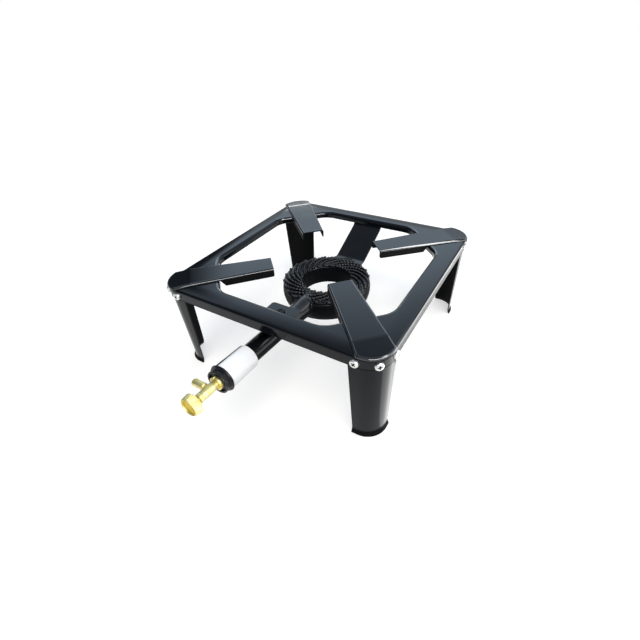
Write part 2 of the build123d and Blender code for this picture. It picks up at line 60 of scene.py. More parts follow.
def makeCamera(look):
    azimuth, down, roll = (radians(look[key]) for key in ("azimuth", "down", "roll"))
    ahead = Vector((cos(down) * sin(azimuth), cos(down) * cos(azimuth), -sin(down)))
    right = ahead.cross(Vector((0, 0, 1))).normalized()
    up = right.cross(ahead)
    right, up = right * cos(roll) + up * sin(roll), up * cos(roll) - right * sin(roll)
    data = bpy.data.cameras.new("camera")
    data.lens = look["lens"]
    data.sensor_width = look["sensor"]
    data.clip_start = look["nearest"]
    camera = bpy.data.objects.new("camera", data)
    aim = Matrix((right, up, -ahead)).transposed().to_4x4()
    camera.matrix_world = Matrix.Translation(look["place"]) @ aim
    bpy.context.scene.collection.objects.link(camera)
    bpy.context.scene.camera = camera


makeCamera(cameraView)
print("camera in place")


# Shader maths on sockets

class Signal:
    def __init__(self, tree, socket=None):
        self.tree = tree
        self.socket = socket

    def node(self, kind, settings=None, values=None, out=0):
        made = self.tree.nodes.new(kind)
        for key, value in (settings or {}).items():
            setattr(made, key, value)
        for key, value in (values or {}).items():
            if isinstance(value, Signal):
                self.tree.links.new(value.socket, made.inputs[key])
            else:
                made.inputs[key].default_value = value
        return Signal(self.tree, made.outputs[out])

    def math(self, operation, first, second):
        return self.node("ShaderNodeMath", {"operation": operation}, {0: first, 1: second})

    def __add__(self, other):
        return self.math("ADD", self, other)

    def __rsub__(self, other):
        return self.math("SUBTRACT", other, self)

    def __mul__(self, other):
        return self.math("MULTIPLY", self, other)

    __radd__ = __add__
    __rmul__ = __mul__


def noise(place, scale, detail=3.0, roughness=0.55, stretch=None):
    if stretch:
        place = place.node("ShaderNodeMapping", None, {"Vector": place, "Scale": stretch})
    return place.node("ShaderNodeTexNoise", None,
                      {"Vector": place, "Scale": scale, "Detail": detail, "Roughness": roughness})


def step(value, low, high):                 # 0 below low, 1 above high, smooth between
    return value.node("ShaderNodeMapRange", {"interpolation_type": "SMOOTHSTEP"},
                      {"Value": value, "From Min": low, "From Max": high})


def mixColour(factor, first, second):       # by number, because the node has more sockets of the same names
    return factor.node("ShaderNodeMix", {"data_type": "RGBA"}, {0: factor, 6: first, 7: second}, out=2)


def bump(height, strength, depth):          # depth in metres
    return height.node("ShaderNodeBump", None, {"Height": height, "Strength": strength, "Distance": depth})


def rgb(*parts):
    return (*parts, 1.0)


def newMaterial(name, **constants):
    material = bpy.data.materials.new(name)
    material.use_nodes = True
    tree = material.node_tree
    shader = tree.nodes["Principled BSDF"]
    for key, value in constants.items():
        shader.inputs[key.replace("_", " ")].default_value = value
    place = Signal(tree).node("ShaderNodeTexCoord", out="Object")

    def feed(**links):
        for key, signal in links.items():
            tree.links.new(signal.socket, shader.inputs[key.replace("_", " ")])

    return material, place, feed


# Materials: two tones in soft clouds, a gloss that follows them, and bumps with a strength and a depth

def cloudIn(place, look):
    return step(noise(place, look["cloudScale"]), *look["cloudFade"])


def plainFinish(name, look, **constants):
    material, place, feed = newMaterial(name, **constants)
    cloud = cloudIn(place, look)
    grain = noise(place, look["grainScale"], look["grainDetail"], stretch=look.get("grainStretch"))
    feed(Base_Color=mixColour(cloud, *look["tones"]),
         Roughness=look["gloss"] + look["haze"] * cloud,
         Normal=bump(grain, *look["bump"]))
    return material


enamelLook = {
    "tones": (rgb(0.003, 0.004, 0.006), rgb(0.005, 0.007, 0.010)), "gloss": 0.08, "haze": 0.05,
    "cloudScale": 18, "cloudFade": (0.3, 0.7),
    "peelScale": 420, "peelDetail": 2.0, "waveScale": 55, "waveDetail": 1.0, "waveShare": 2.0,
    "bump": (0.10, 0.00008),
    "speckScale": 900, "speckDetail": 1.0, "speckFade": (0.74, 0.8), "speckShare": 0.35, "speckHaze": 0.15,
    "speckTone": rgb(0.05, 0.05, 0.05),
    "flat": 0.22, "fold": 0.9, "leg": 0.16,     # shine on flat faces, on folds and on the legs
}


def blackEnamel(name, look, shine):
    material, place, feed = newMaterial(name, Specular_IOR_Level=look[shine])
    cloud = cloudIn(place, look)
    peel = noise(place, look["peelScale"], look["peelDetail"])  # orange peel of the fired coat
    wave = noise(place, look["waveScale"], look["waveDetail"])
    speck = step(noise(place, look["speckScale"], look["speckDetail"]), *look["speckFade"])
    colour = mixColour(cloud, *look["tones"])
    feed(Base_Color=mixColour(speck * look["speckShare"], colour, look["speckTone"]),
         Roughness=look["gloss"] + look["haze"] * cloud + look["speckHaze"] * speck,
         Normal=bump(peel + look["waveShare"] * wave, *look["bump"]))
    return material


castLook = {
    "tones": (rgb(0.001, 0.0012, 0.002), rgb(0.003, 0.0035, 0.005)), "gloss": 0.4, "haze": 0.20,
    "cloudScale": 40, "cloudFade": (0.35, 0.7), "shine": 0.04,
    "grainScale": 900, "grainDetail": 3.0, "grainRoughness": 0.65,          # sand of the mould
    "grainFade": (0.62, 0.75), "grainShare": 0.5, "grainTone": rgb(0.015, 0.016, 0.018),
    "lumpScale": 210, "lumpDetail": 2.0, "lumpShare": 2.4, "bump": (0.7, 0.0006),
    "coat": 0.8, "coatGloss": 0.17, "coatFade": (0.1, 0.7),     # paint settled on faces that look up
}


def castIron(name, look):
    material, place, feed = newMaterial(name, Specular_IOR_Level=look["shine"],
                                        Coat_Roughness=look["coatGloss"])
    normal = place.node("ShaderNodeTexCoord", out="Normal")
    upward = place.node("ShaderNodeSeparateXYZ", None, {0: normal}, out="Z")
    grain = noise(place, look["grainScale"], look["grainDetail"], look["grainRoughness"])
    lump = noise(place, look["lumpScale"], look["lumpDetail"])
    cloud = cloudIn(place, look)
    colour = mixColour(cloud, *look["tones"])
    pale = step(grain, *look["grainFade"]) * look["grainShare"]
    feed(Base_Color=mixColour(pale, colour, look["grainTone"]),
         Roughness=look["gloss"] + look["haze"] * cloud,
         Coat_Weight=look["coat"] * step(upward, *look["coatFade"]),
         Normal=bump(grain + look["lumpShare"] * lump, *look["bump"]))
    return material


paintLook = {
    "tones": (rgb(0.003, 0.003, 0.005), rgb(0.007, 0.007, 0.010)), "gloss": 0.2, "haze": 0.14, "shine": 0.25,
    "cloudScale": 60, "cloudFade": (0.35, 0.7),
    "lumpScale": 260, "fineScale": 1400, "bumpDetail": 2.0, "fineShare": 0.3, "bump": (0.8, 0.0009),
}


def blackPaint(name, look):
    material, place, feed = newMaterial(name, Specular_IOR_Level=look["shine"])
    lump = noise(place, look["lumpScale"], look["bumpDetail"])
    fine = noise(place, look["fineScale"], look["bumpDetail"])
    cloud = cloudIn(place, look)
    feed(Base_Color=mixColour(cloud, *look["tones"]),
         Roughness=look["gloss"] + look["haze"] * cloud,
         Normal=bump(lump + look["fineShare"] * fine, *look["bump"]))
    return material


shadeCoatLook = {                                # painted shade: a dull, darker coat that stands in for the shade on leg insides, feet and support walls
    "tones": (rgb(0.0015, 0.0015, 0.002), rgb(0.004, 0.004, 0.0045)), "gloss": 0.55, "haze": 0.2,
    "cloudScale": 70, "cloudFade": (0.3, 0.7), "shine": 0.07,
    "grainScale": 600, "grainDetail": 2.0, "bump": (0.2, 0.0002),
}
brassLook = {
    "tones": (rgb(0.79, 0.71, 0.36), rgb(0.71, 0.59, 0.20)), "gloss": 0.42, "haze": 0.12,
    "cloudScale": 120, "cloudFade": (0.35, 0.7),
    "grainScale": 300, "grainDetail": 2.0, "grainStretch": (1, 14, 1),      # marks of turning
    "bump": (0.12, 0.0001),
}
# a darker, deeper copy of the brass for the knob's dished face: painted shade
shadedKnobLook = {
    **brassLook, "tones": (rgb(0.64, 0.48, 0.05), rgb(0.46, 0.31, 0.02)), "gloss": 0.40, "haze": 0.15,
}
zincLook = {
    "tones": (rgb(0.80, 0.80, 0.79), rgb(0.62, 0.62, 0.61)), "gloss": 0.32, "haze": 0.15,
    "cloudScale": 250, "cloudFade": (0.35, 0.7),
    "grainScale": 1800, "grainDetail": 2.0, "bump": (0.12, 0.0001),
}
labelLook = {
    "tones": (rgb(0.93, 0.93, 0.93), rgb(0.87, 0.87, 0.87)), "gloss": 0.32, "haze": 0.12,
    "cloudScale": 45, "cloudFade": (0.45, 0.8),
    "grainScale": 240, "grainDetail": 2.0, "bump": (0.15, 0.0002),
}
rubberLook = {
    "tones": (rgb(0.012, 0.012, 0.012), rgb(0.03, 0.03, 0.03)), "gloss": 0.6, "haze": 0.15,
    "cloudScale": 300, "cloudFade": (0.35, 0.7),
    "grainScale": 1500, "grainDetail": 3.0, "bump": (0.2, 0.0001),
}
finishes = {
    "black_enamel": blackEnamel("blackEnamel", enamelLook, "flat"),
    "cast_iron": castIron("castIron", castLook),
    "black_paint": blackPaint("blackPaint", paintLook),
    "brass": plainFinish("brass", brassLook, Metallic=1.0),
    "zinc_steel": plainFinish("zincSteel", zincLook, Metallic=1.0),
    "white_label": plainFinish("whiteLabel", labelLook),
    "seal_rubber": plainFinish("sealRubber", rubberLook),
}
thickCoat = blackEnamel("thickEnamel", enamelLook, "fold")      # gathers on the folds
legCoat = blackEnamel("legEnamel", enamelLook, "leg")
# painted shade: a dull dark coat where the enamel faces the shadowed floor or sits in a gap
paintedShadeCoat = plainFinish("paintedShadeEnamel", shadeCoatLook, Specular_IOR_Level=shadeCoatLook["shine"])
shadedKnobBrass = plainFinish("shadedKnobBrass", shadedKnobLook, Metallic=1.0)
print("materials made:", ", ".join(finishes))


# Mesh helpers

def vertsOf(geom):
    return [g for g in geom if isinstance(g, bmesh.types.BMVert)]


def edgesOf(geom):
    return [g for g in geom if isinstance(g, bmesh.types.BMEdge)]


def withVerts(edges):
    return edges + list({v: None for e in edges for v in e.verts})


def chain(bm, points, closed=False):        # edges through a few points
    verts = [bm.verts.new(p) for p in points]
    ends = verts[1:] + verts[:1] if closed else verts[1:]
    return [bm.edges.new(pair) for pair in zip(verts, ends)]


def tidy(bm, reach=0.002):
    bmesh.ops.remove_doubles(bm, verts=bm.verts, dist=reach)
    bmesh.ops.recalc_face_normals(bm, faces=bm.faces)


def arc(first, middle, last, steps):        # points on the circle through three (radius, height) points
    a, b, c = Vector(first), Vector(middle), Vector(last)
    ab, ac = b - a, c - a
    twice = 2 * (ab.x * ac.y - ab.y * ac.x)
    centre = a + Vector((ac.y * ab.length_squared - ab.y * ac.length_squared,
                         ab.x * ac.length_squared - ac.x * ab.length_squared)) / twice
    start, end = (atan2(p.y - centre.y, p.x - centre.x) for p in (a, c))
    radius = (a - centre).length
    turns = [start + (end - start) * k / steps for k in range(steps + 1)]
    return [(centre.x + radius * cos(turn), centre.y + radius * sin(turn)) for turn in turns]


def fullTurn(bm, points, steps, closed=False):                  # of (radius, height) points
    edges = chain(bm, [(radius, 0, height) for radius, height in points], closed)
    bmesh.ops.spin(bm, geom=withVerts(edges), cent=(0, 0, 0), axis=(0, 0, 1), angle=2 * pi, steps=steps,
                   use_merge=True)


def spun(bm, points, steps, closed=False):
    fullTurn(bm, points, steps, closed)
    tidy(bm)


def rounded(bm, geom, width, steps=5, profile=0.5, affect="EDGES"):
    bmesh.ops.bevel(bm, geom=geom, offset=width, segments=steps, profile=profile, affect=affect,
                    material=-1, clamp_overlap=True)


def sharpEdges(bm, angle):
    return [e for e in bm.edges if e.calc_face_angle(0) > radians(angle)]


def soften(bm, width, angle=30, steps=2):   # bevel on every sharp edge
    rounded(bm, sharpEdges(bm, angle), width, steps)


def runAlong(bm, edges, shift):             # extrude a line of edges, and give back its new end
    made = bmesh.ops.extrude_edge_only(bm, edges=edges)["geom"]
    bmesh.ops.translate(bm, verts=vertsOf(made), vec=shift)
    return [e for e in edgesOf(made) if all(v in made for v in e.verts)]


def turnAbout(bm, geom, centre, axis, angle, steps):
    return bmesh.ops.spin(bm, geom=geom, cent=centre, axis=axis, angle=angle, steps=steps,
                          use_merge=False)["geom_last"]


def swing(bm, angle):                       # turn everything round the upright axis
    bmesh.ops.rotate(bm, verts=bm.verts, cent=(0, 0, 0), matrix=Matrix.Rotation(radians(angle), 3, "Z"))


def repeatRound(bm, count):                 # copies of everything so far, round the upright axis
    bmesh.ops.spin(bm, geom=bm.verts[:] + bm.edges[:] + bm.faces[:], cent=(0, 0, 0), axis=(0, 0, 1),
                   angle=2 * pi * (count - 1) / count, steps=count - 1, use_duplicate=True)


def upright(bm, x, y, foot, top, footRadius, topRadius, sides):             # a round post
    bmesh.ops.create_cone(bm, cap_ends=True, segments=sides, radius1=footRadius, radius2=topRadius,
                          depth=top - foot, matrix=Matrix.Translation((x, y, (foot + top) / 2)))


def faceOut(bm, face, way):                 # turn an open sheet over if this face looks the wrong way
    if face.normal.dot(Vector(way)) < 0:
        bmesh.ops.reverse_faces(bm, faces=bm.faces)


def camelName(start, corner):
    return start + corner.title().replace("_", "")


def addPiece(bm, name, body, slot, nodes, sharp=50, material=None, coats=()):
    bmesh.ops.scale(bm, vec=(mm, mm, mm), verts=bm.verts)
    mesh = bpy.data.meshes.new(name)
    bm.to_mesh(mesh)
    bm.free()
    mesh.shade_smooth()
    mesh.set_sharp_from_angle(angle=radians(sharp))
    for coat in (material or finishes[slot], *coats):           # in the order of the faces' material numbers
        mesh.materials.append(coat)
    piece = bpy.data.objects.new(name, mesh)
    bpy.context.scene.collection.objects.link(piece)
    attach(piece, body)
    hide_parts(*nodes)
    return piece


def softEdges(piece, edge, angle=50):
    bevel = piece.modifiers.new("edges", "BEVEL")
    bevel.width = edge * mm
    bevel.segments = 2
    bevel.limit_method = "ANGLE"
    bevel.angle_limit = radians(angle)
    bevel.use_clamp_overlap = True
    normals = piece.modifiers.new("flats", "WEIGHTED_NORMAL")
    normals.keep_sharp = True


def sheetMetal(piece, thickness, edge=0.25, inside=0):          # wall thickness inwards, softened cut edges
    wall = piece.modifiers.new("wall", "SOLIDIFY")
    wall.thickness = thickness * mm
    wall.offset = -1
    wall.use_even_offset = True
    wall.material_offset = inside           # material of the hidden side
    softEdges(piece, edge)


def remeshed(piece, voxel, smooth):         # one skin with soft inner corners, as a casting has
    skin = piece.modifiers.new("skin", "REMESH")
    skin.mode = "VOXEL"
    skin.voxel_size = voxel * mm
    skin.use_smooth_shade = True
    relax = piece.modifiers.new("relax", "SMOOTH")
    relax.factor = 0.5
    relax.iterations = smooth


def cutAway(piece, bm):                     # take a group of volumes out of a piece
    bmesh.ops.scale(bm, vec=(mm, mm, mm), verts=bm.verts)
    mesh = bpy.data.meshes.new("cutter")
    bm.to_mesh(mesh)
    bm.free()
    for material in piece.data.materials:   # so that the cut faces keep their material numbers
        mesh.materials.append(material)
    cutter = bpy.data.objects.new("cutter", mesh)
    bpy.context.scene.collection.objects.link(cutter)
    cut = piece.modifiers.new("cut", "BOOLEAN")
    cut.object = cutter
    shape = piece.evaluated_get(bpy.context.evaluated_depsgraph_get())
    piece.data = bpy.data.meshes.new_from_object(shape)
    piece.modifiers.clear()
    bpy.data.objects.remove(cutter)


# Square frame

rim = {
    "half": 150.0, "top": 123.6, "sheet": 1.2, "cornerRadius": 26.0, "skirt": 15.6, "width": 24.5,
    "flange": 9.1, "bend": 4.0, "crownAngle": 8.0, "crownRadius": 110.0, "openingCut": 55.0,
    "openingRound": 28.0, "bendSteps": 6, "crownSteps": 5, "cornerSteps": 14, "cutEdge": 0.5,
    "shadeLineHeight": 1.4,                        # height of the painted shade, a dull dark coat, along the skirt's lower cut edge
    "gathered": (-1.0, 7.0),                # band of thick coat along the opening's slanted edges
}


def sweepRound(bm, edges, start, legs, radius, steps):          # legs are (length, turn) pairs, leftwards
    place, heading = Vector(start), 90.0
    for length, turn in legs:
        ahead = Vector((cos(radians(heading)), sin(radians(heading)), 0))
        edges = runAlong(bm, edges, ahead * length)
        place = place + ahead * length
        centre = place + Vector((-ahead.y, ahead.x, 0)) * radius
        edges = edgesOf(turnAbout(bm, withVerts(edges), centre, (0, 0, 1), radians(turn), steps))
        place = centre + Matrix.Rotation(radians(turn), 3, "Z") @ (place - centre)
        heading += turn


def makeFrame(size):
    bm = bmesh.new()
    half, top, bend = size["half"], size["top"], size["bend"]
    straight = half - size["cornerRadius"]
    crownAngle, crownRadius = radians(size["crownAngle"]), size["crownRadius"]
    rise = bend * cos(crownAngle) + crownRadius * (1 - cos(crownAngle))     # bend and crown together
    foot = top - size["skirt"]
    shadeLineTop = foot + size["shadeLineHeight"]
    edges = chain(bm, [(half, -straight, z) for z in (foot, shadeLineTop, top - rise)])
    ridge = turnAbout(bm, [edges[1].verts[1]], (half - bend, -straight, top - rise), (0, -1, 0),
                      pi / 2 - crownAngle, size["bendSteps"])
    crest = half - bend + (bend - crownRadius) * sin(crownAngle)
    turnAbout(bm, vertsOf(ridge), (crest, -straight, top - crownRadius), (0, -1, 0), crownAngle,
              size["crownSteps"])
    sweepRound(bm, list(bm.edges), (half, -straight, 0), [(2 * straight, 90)] * 4, size["cornerRadius"],
               size["cornerSteps"])
    outer = set(bm.verts)

    opening = half - size["width"]
    tangent = size["openingRound"] * tan(radians(45 / 2))       # the opening has eight sides
    side = opening - size["openingCut"] - tangent
    slant = size["openingCut"] * sqrt(2) - 2 * tangent
    edges = chain(bm, [(opening, -side, top - size["flange"]), (opening, -side, top - bend)])
    turnAbout(bm, [edges[0].verts[1]], (opening + bend, -side, top - bend), (0, 1, 0), pi / 2,
              size["bendSteps"])
    flange = [e for e in bm.edges if not any(v in outer for v in e.verts)]
    sweepRound(bm, flange, (opening, -side, 0), [(2 * side, 45), (slant, 45)] * 4, size["openingRound"],
               size["cornerSteps"] // 2)
    tidy(bm)
    loops = [e for e in bm.edges if e.is_boundary and all(v.co.z > top - near for v in e.verts)]
    flat = bmesh.ops.bridge_loops(bm, edges=loops)["faces"]
    bmesh.ops.recalc_face_normals(bm, faces=bm.faces)
    faceOut(bm, flat[0], (0, 0, 1))

    slantReach = 2 * opening - size["openingCut"]               # |x| + |y| along the slanted edges
    low, high = size["gathered"]
    for face in bm.faces:
        x, y, z = (abs(part) for part in face.calc_center_median())
        thick = max(x, y) < opening + bend and low < x + y - slantReach < high and z < top - near
        # painted shade along the skirt's lower edge, thick coat along the slanted edges
        face.material_index = 1 if z < shadeLineTop else 2 if thick else 0
    piece = addPiece(bm, "topFrame", "stove", "black_enamel", ["top_frame"], coats=(paintedShadeCoat, thickCoat))
    sheetMetal(piece, size["sheet"], size["cutEdge"])


makeFrame(rim)
print("square frame made")


# Pot supports

support = {
    "top": 126.5, "inner": 70.5, "innerHalf": 15.5, "bendAt": 175.36, "bendHalf": 20.0, "noseRadius": 27.2,
    "noseDrop": 2.2, "noseFoot": 121.0, "noseSteps": 18, "fold": 2.6, "crease": 2.5, "creaseSteps": 3,
    "sheet": 1.5, "cornerCut": 2.5, "cornerSteps": 4,
    "foldProfile": (0.5, 0.5, 0.3, 0.5),        # round folds, and a flatter one at the back right
    "wallTilt": 0.15, "foldTilt": 0.99,         # upright shares of the normal, for the coats
    # distance from the burner's axis, height of the wall's lower edge
    "walls": [(70.5, 115.0), (132.0, 115.0), (138.0, 123.6), (175.36, 123.5), (189.5, 122.6)],
}


def makeSupport(size, corner, turn, profile):
    bm = bmesh.new()
    top, bendAt, radius = size["top"], size["bendAt"], size["noseRadius"]
    slope = (size["bendHalf"] - size["innerHalf"]) / (bendAt - size["inner"])
    side = [(x, -size["innerHalf"] - slope * (x - size["inner"])) for x, foot in size["walls"]]
    lean = slope * size["bendHalf"]
    reach = sqrt(lean ** 2 + (1 + slope ** 2) * (radius ** 2 - size["bendHalf"] ** 2)) - lean
    reach = reach / (1 + slope ** 2)        # the side line meets the nose's circle
    nose = (bendAt + reach, -size["bendHalf"] - slope * reach)
    edges = chain(bm, [(x, y, top) for x, y in side + [nose]])
    start = edges[-1].verts[1]
    sweep = 2 * atan2(-nose[1], reach)
    turnAbout(bm, [start], (bendAt, 0, top), (0, 0, 1), sweep, size["noseSteps"])
    chain(bm, [(nose[0], -nose[1], top)] + [(x, -y, top) for x, y in reversed(side)])
    bmesh.ops.remove_doubles(bm, verts=bm.verts, dist=near)
    for vert in bm.verts:                   # the nose droops to the rim
        vert.co.z -= size["noseDrop"] * max(0.0, vert.co.x - bendAt) / radius
    folds = list(bm.edges)
    ends = [v for v in bm.verts if abs(v.co.x - size["inner"]) < near]
    crease = [v for v in bm.verts if abs(v.co.x - bendAt) < near]
    endEdge = bm.edges.new(ends)
    creaseEdge = bm.edges.new(crease)
    inside = [e for e in folds if max(v.co.x for v in e.verts) < bendAt + near]
    flat = bmesh.ops.contextual_create(bm, geom=inside + [endEdge, creaseEdge])["faces"]
    bmesh.ops.contextual_create(bm, geom=[e for e in folds if e not in inside] + [creaseEdge])
    made = bmesh.ops.extrude_edge_only(bm, edges=folds)["geom"]
    for vert in vertsOf(made):
        feet = [foot for x, foot in size["walls"] if abs(vert.co.x - x) < near]
        vert.co.z = feet[0] if feet else size["noseFoot"]
    bmesh.ops.recalc_face_normals(bm, faces=bm.faces)
    faceOut(bm, flat[0], (0, 0, 1))
    rounded(bm, folds, size["fold"], profile=profile)
    bent = {v for v in bm.verts if abs(v.co.x - bendAt) < near and v.co.z > top - near}
    across = [e for e in bm.edges if all(v in bent for v in e.verts)]
    rounded(bm, across, size["crease"], size["creaseSteps"])
    inner, innerFoot = size["walls"][0]
    feet = [v for v in bm.verts if v.co.z < innerFoot + near and v.co.x < inner + near]
    rounded(bm, feet, size["cornerCut"], size["cornerSteps"], affect="VERTICES")
    swing(bm, turn)
    for face in bm.faces:                   # painted shade (dull dark coat) on the walls, thick coat on the folds
        tilted = abs(face.normal.z)
        face.material_index = 1 if tilted < size["wallTilt"] else 2 if tilted < size["foldTilt"] else 0
    piece = addPiece(bm, camelName("potSupport", corner), "stove", "black_enamel", ["pot_support_" + corner],
                     coats=(paintedShadeCoat, thickCoat))
    sheetMetal(piece, size["sheet"])


for index, corner in enumerate(corners):
    makeSupport(support, corner, 90 * index - 135, support["foldProfile"][index])
print("pot supports made")


# Legs

legSize = {
    "half": 148.7, "cornerRadius": 24.7, "sheet": 1.5, "cornerSteps": 12,
    "lip": 6.5,                             # height of the painted shade, a dull dark coat, on the flared foot
    # height, how far the face stands inside the top, straight stretch beside the corner
    "levels": [(118.9, 0.0, 11.8), (108.0, 0.0, 11.8), (9.0, 2.5, 5.3), (6.5, 2.3, 5.5), (4.2, 1.75, 6.1),
               (2.2, 0.95, 6.9), (0.7, 0.3, 7.5)],
}


def makeLeg(size, corner, turn):
    bm = bmesh.new()
    half, radius = size["half"], size["cornerRadius"]
    centre = half - radius
    height, lean, side = size["levels"][0]
    edges = chain(bm, [(centre - side, half, height), (centre, half, height)])
    turnAbout(bm, [edges[0].verts[1]], (centre, centre, height), (0, 0, 1), -pi / 2, size["cornerSteps"])
    last = min(bm.verts, key=lambda v: v.co.y)
    made = bmesh.ops.extrude_vert_indiv(bm, verts=[last])
    bmesh.ops.translate(bm, verts=made["verts"], vec=(0, -side, 0))
    edges = list(bm.edges)
    for nextHeight, nextLean, nextSide in size["levels"][1:]:
        shift = lean - nextLean
        edges = runAlong(bm, edges, (shift, shift, nextHeight - height))
        ring = {v for e in edges for v in e.verts}
        bmesh.ops.translate(bm, verts=[min(ring, key=lambda v: v.co.x)], vec=(side - nextSide, 0, 0))
        bmesh.ops.translate(bm, verts=[min(ring, key=lambda v: v.co.y)], vec=(0, side - nextSide, 0))
        height, lean, side = nextHeight, nextLean, nextSide
    bmesh.ops.recalc_face_normals(bm, faces=bm.faces)
    bm.faces.ensure_lookup_table()
    out = max(bm.faces, key=lambda f: f.calc_center_median().x + f.calc_center_median().y)
    faceOut(bm, out, (1, 1, 0))
    swing(bm, turn)
    for face in bm.faces:
        face.material_index = 1 if face.calc_center_median().z < size["lip"] else 0
    piece = addPiece(bm, camelName("leg", corner), "stove", "black_enamel", ["leg_" + corner],
                     material=legCoat, coats=(paintedShadeCoat,))
    # the hidden inner side of the leg takes the painted shade coat
    sheetMetal(piece, size["sheet"], inside=1)


for index, corner in enumerate(corners):
    makeLeg(legSize, corner, 90 * index - 180)
print("legs made")


# Bracket and strap that carry the burner

strip = {
    "sheet": 2.5, "bend": 2.7, "bendAngle": 10, "cutEdge": 0.4, "tongueRound": 4.0,
    "frontHalf": 21.0, "rearHalf": 22.5,
    "front": [(-126.7, 118.9), (-126.7, 101.0), (-91.0, 101.0)],
    "rear": [(60.5, 84.5), (71.0, 84.5), (126.7, 112.0), (126.7, 118.9)],
}


def makeStrip(size, name, path, half, node, roundEnd):
    bm = bmesh.new()
    edges = chain(bm, [(-half, y, z) for y, z in path])
    runAlong(bm, edges, (2 * half, 0, 0))
    tidy(bm)
    faceOut(bm, max(bm.faces, key=lambda f: abs(f.normal.z)), (0, 0, 1))
    if roundEnd:
        tip = max(v.co.y for v in bm.verts)
        tipVerts = [v for v in bm.verts if v.co.y > tip - near]
        rounded(bm, tipVerts, size["tongueRound"], affect="VERTICES")
    rounded(bm, sharpEdges(bm, size["bendAngle"]), size["bend"])
    piece = addPiece(bm, name, "stove", "black_enamel", [node])
    sheetMetal(piece, size["sheet"], size["cutEdge"])


makeStrip(strip, "frontBracket", strip["front"], strip["frontHalf"], "front_bracket", True)
makeStrip(strip, "rearStrap", strip["rear"], strip["rearHalf"], "rear_strap", False)
print("bracket and strap made")


# Cast burner: ring, mixing tube and chamber

tubeLine = {"rise": 74.7, "tilt": 3.4}
tilt = radians(tubeLine["tilt"])
onTube = Matrix(((1, 0, 0, 0), (0, sin(tilt), -cos(tilt), 0), (0, cos(tilt), sin(tilt), tubeLine["rise"]),
                 (0, 0, 0, 1)))             # local +Z runs out along the tube

# windows in the chamber's end and in the shutter
airWindow = {"count": 4, "inner": 8.3, "outer": 11.1, "halfAngle": 20}
windowShare = 360 / airWindow["count"]      # degrees of the round for each

casting = {
    "hole": [(34.0, 86.5), (34.0, 61.0)], "side": [(54.5, 58.8), (60.0, 81.8), (59.0, 86.5)], "sideSteps": 10,
    "ringSteps": 120,
    "tube": [(0, 40), (14.0, 40), (14.0, 56), (13.6, 62), (12.9, 70), (12.4, 78), (12.3, 86), (11.5, 168),
             (14.0, 169.5), (14.5, 209.1), (11.1, 209.1), (8.3, 209.1), (0, 209.1)],
    "tubeSteps": 72, "chamberEnd": 209.1, "windowDepth": 8.0,
    "boss": {"topRadius": 8.0, "footRadius": 9.5, "y": -104.0, "foot": 80.0, "top": 98.5, "sides": 40},
    "lug": {"half": 13.0, "start": 50.0, "end": 71.0, "top": 82.0, "thick": 7.0, "round": 5.0},
    "voxel": 0.85, "smooth": 3,
}


def angleOf(place):                         # round the axis, from where the first window's share starts
    return degrees(atan2(place.y, place.x)) + windowShare / 2


def windowFaces(bm, height):                # faces of the air windows on a flat end
    found = []
    for face in bm.faces:
        middle = face.calc_center_median()
        inReach = airWindow["inner"] < hypot(middle.x, middle.y) < airWindow["outer"]
        angle = angleOf(middle) % windowShare - windowShare / 2
        if abs(middle.z - height) < near and inReach and abs(angle) < airWindow["halfAngle"]:
            found.append(face)
    return found


def makeCasting(size):
    bm = bmesh.new()
    spun(bm, size["tube"], size["tubeSteps"])
    windows = windowFaces(bm, size["chamberEnd"])
    pushed = bmesh.ops.extrude_face_region(bm, geom=windows)["geom"]
    bmesh.ops.translate(bm, verts=vertsOf(pushed), vec=(0, 0, -size["windowDepth"]))
    bmesh.ops.delete(bm, geom=windows, context="FACES")
    bmesh.ops.transform(bm, matrix=onTube, verts=bm.verts)

    fullTurn(bm, size["hole"] + arc(*size["side"], size["sideSteps"]), size["ringSteps"], True)
    boss = size["boss"]
    upright(bm, 0, boss["y"], boss["foot"], boss["top"], boss["footRadius"], boss["topRadius"], boss["sides"])
    lug = size["lug"]
    middle = (0, (lug["start"] + lug["end"]) / 2, lug["top"] - lug["thick"] / 2)
    block = bmesh.ops.create_cube(bm, size=1)["verts"]
    bmesh.ops.scale(bm, verts=block, vec=(2 * lug["half"], lug["end"] - lug["start"], lug["thick"]))
    bmesh.ops.translate(bm, verts=block, vec=middle)
    standing = {e for v in block for e in v.link_edges if abs(e.verts[0].co.z - e.verts[1].co.z) > near}
    rounded(bm, [e for e in standing if e.verts[0].co.y > lug["end"] - near], lug["round"])
    tidy(bm)
    piece = addPiece(bm, "burnerCasting", "stove", "cast_iron", ["burner_body"], sharp=allSmooth)
    remeshed(piece, size["voxel"], size["smooth"])


makeCasting(casting)
print("burner casting made")


# Crown with beaded ridges

crown = {
    "outer": 59.0, "inner": 34.0, "seat": 86.5, "edge": 88.3, "roof": 88.9, "roofSteps": 8, "ringSteps": 120,
    "ridges": 24, "sweep": 50.0, "start": 0.045, "end": 0.985, "ridgeEdge": 90.6, "ridgeTop": 93.0,
    "beads": 11, "beadRadius": 2.15, "beadSides": 8, "beadRows": 6,
    "finRadius": 1.25, "finFoot": 1.9, "finDrop": 1.2, "finSides": 8,
    "ports": (0.394, 0.606), "portRadius": 1.1, "portSides": 12, "portPast": 1.0,
    "voxel": 0.55, "smooth": 1,
}


def crestPoint(size, share):                # share 0 at the outer edge, 1 at the hole
    radius = size["outer"] + share * (size["inner"] - size["outer"])
    angle = radians(size["sweep"] * share)
    height = size["ridgeTop"] - (size["ridgeTop"] - size["ridgeEdge"]) * (2 * share - 1) ** 2
    return Vector((radius * cos(angle), radius * sin(angle), height))


